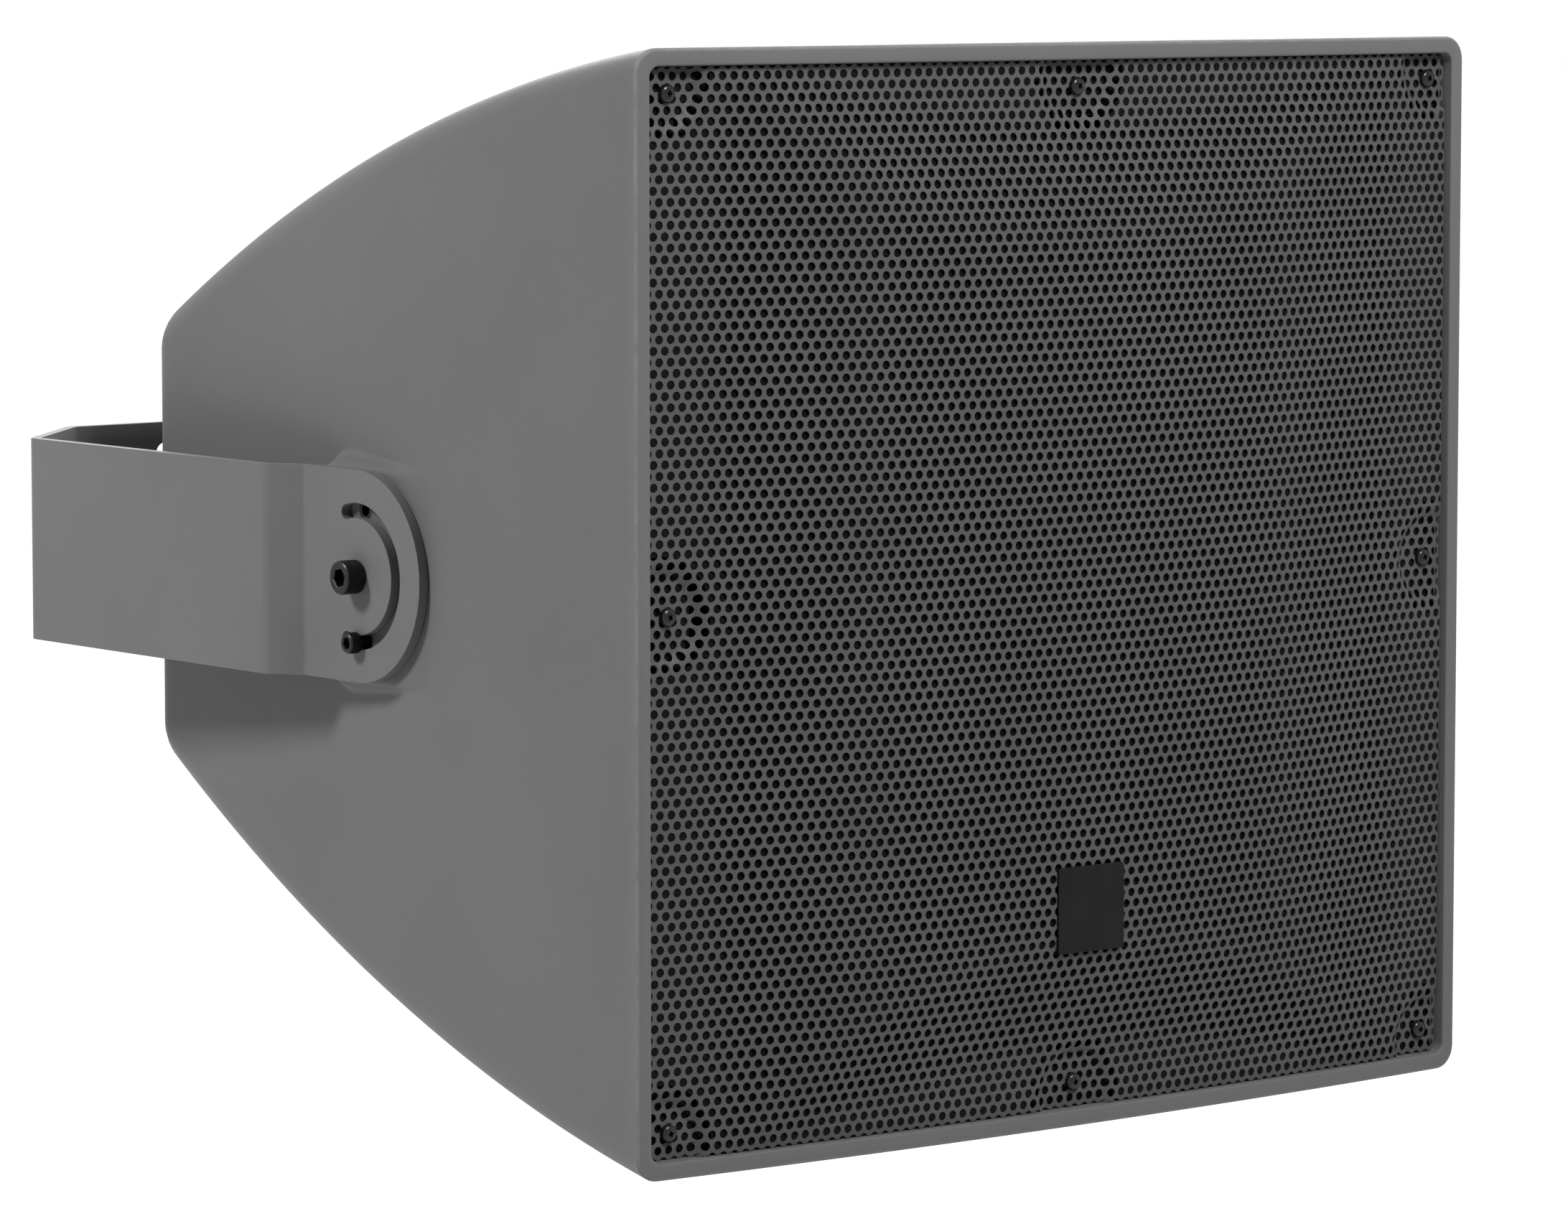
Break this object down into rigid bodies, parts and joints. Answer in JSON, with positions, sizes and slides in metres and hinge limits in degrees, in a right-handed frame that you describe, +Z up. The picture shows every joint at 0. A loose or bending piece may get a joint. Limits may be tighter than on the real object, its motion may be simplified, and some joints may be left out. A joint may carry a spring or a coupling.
{
  "type": "installation speaker",
  "caption": "Square two-way installation speaker in a tapering moulded cabinet with a bowed perforated grille, held by a folded U bracket that tilts and locks.",
  "frame": {"origin": "centre of the bracket web's wall face, level with the tilt axis", "axes": "+Y into the wall, +Z up, +X to the right seen from the front; the grille faces -Y"},
  "size_m": [0.501, 0.5792, 0.5],
  "materials": {
    "cabinet_paint": "satin grey, fine texture",
    "grille_paint": "satin dark grey powder coat",
    "bracket_paint": "satin grey powder coat",
    "black_steel": "black oxide",
    "black_foam": "open-cell foam",
    "badge_dark": "gloss, bare",
    "insert_brass": "plain",
    "baffle_wood": "dark stained plywood",
    "basket_paint": "black powder coat",
    "black_rubber": "matt",
    "cone_paper": "treated paper",
    "spider_cloth": "varnished cloth",
    "former_metal": "plain",
    "copper_wire": "varnished",
    "motor_steel": "zinc plated",
    "ferrite": "ground",
    "black_plastic": "matt",
    "board_green": "solder mask",
    "component_shell": "gloss",
    "resistor_white": "ceramic",
    "core_steel": "varnished laminations"
  },
  "bodies": {
    "bracket": {"bracket": "bracket_paint"},
    "cabinet": {"cabinet_shell": "cabinet_paint", "grille": "grille_paint", "grille_foam": "black_foam", "grille_screws": "black_steel", "grille_inserts": "insert_brass", "badge_plate": "badge_dark", "pivot_bolts": "black_steel", "lock_screws": "black_steel", "pivot_inserts": "insert_brass", "lock_inserts": "insert_brass", "baffle_board": "baffle_wood", "woofer_basket": "basket_paint", "woofer_screws": "black_steel", "woofer_gasket": "black_rubber", "surround": "black_rubber", "spider": "spider_cloth", "top_plate": "motor_steel", "magnet_ring": "ferrite", "pole_yoke": "motor_steel", "horn": "black_plastic", "tweeter_driver": "basket_paint", "tweeter_cap": "black_plastic", "connection_plate": "cabinet_paint", "plate_gasket": "black_rubber", "plate_screws": "black_steel", "gland_body": "black_plastic", "gland_nut": "black_plastic", "gland_locknut": "black_plastic", "crossover_board": "board_green", "board_standoffs": "insert_brass", "board_screws": "motor_steel", "inductor_coils": "copper_wire", "capacitors": "component_shell", "power_resistor": "resistor_white", "terminal_block": "board_green", "transformer_core": "core_steel", "transformer_winding": "copper_wire", "transformer_feet": "motor_steel", "transformer_screws": "motor_steel"},
    "cone": {"cone": "cone_paper", "voice_coil_former": "former_metal", "voice_coil_winding": "copper_wire"}
  },
  "joints": [
    {"name": "tilt", "type": "hinge", "parent": "bracket", "child": "cabinet", "pos_m": [0, -0.3175, 0], "axis": [-1, 0, 0], "range_deg": [-15, 90]},
    {"name": "cone_travel", "type": "slide", "parent": "cabinet", "child": "cone", "axis": [0, -1, 0], "range_m": [-0.005, 0.005], "stiffness_N_per_m": 3000, "deforming": ["surround", "spider"]}
  ]
}
